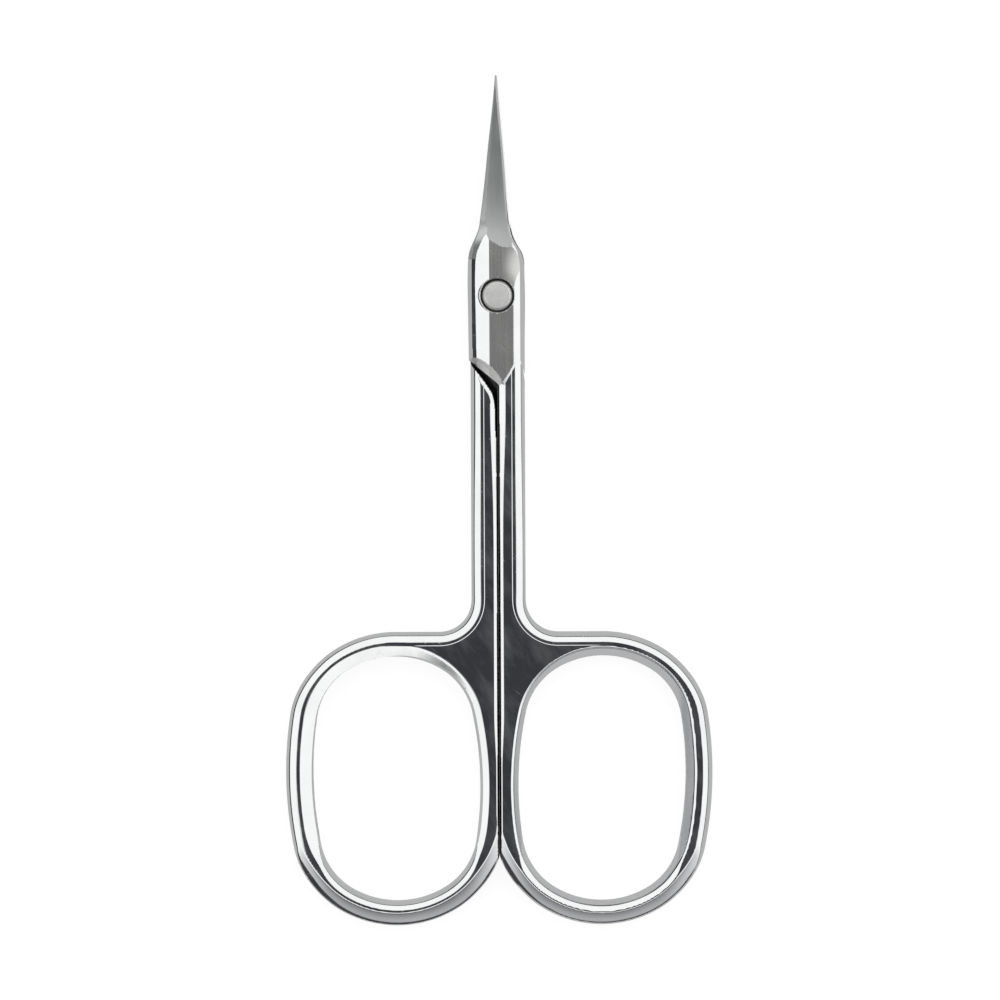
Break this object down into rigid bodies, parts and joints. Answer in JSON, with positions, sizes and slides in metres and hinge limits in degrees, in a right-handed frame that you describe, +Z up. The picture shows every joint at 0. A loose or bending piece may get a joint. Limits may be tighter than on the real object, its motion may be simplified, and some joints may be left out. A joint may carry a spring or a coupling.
{
  "type": "cuticle scissors",
  "caption": "Slim steel cuticle scissors with needle tips, oval finger bows and a slotless pivot screw, closed and lying flat.",
  "frame": {"origin": "on the pivot axis, at the flat underside of the joint, which lies on the table", "axes": "+Y from the pivot to the tips, +X to the right, +Z up along the pivot axis, out of the screw head"},
  "size_m": [0.0448, 0.0899, 0.0038],
  "materials": {
    "polished_steel": "polished",
    "screw_steel": "satin"
  },
  "bodies": {
    "back": {"back_half": "polished_steel", "pivot_screw": "screw_steel"},
    "front": {"front_half": "polished_steel"}
  },
  "joints": [
    {"name": "pivot", "type": "hinge", "parent": "back", "child": "front", "pos_m": [0, 0, 0.0017], "axis": [0, 0, 1], "range_deg": [0, 140]}
  ]
}
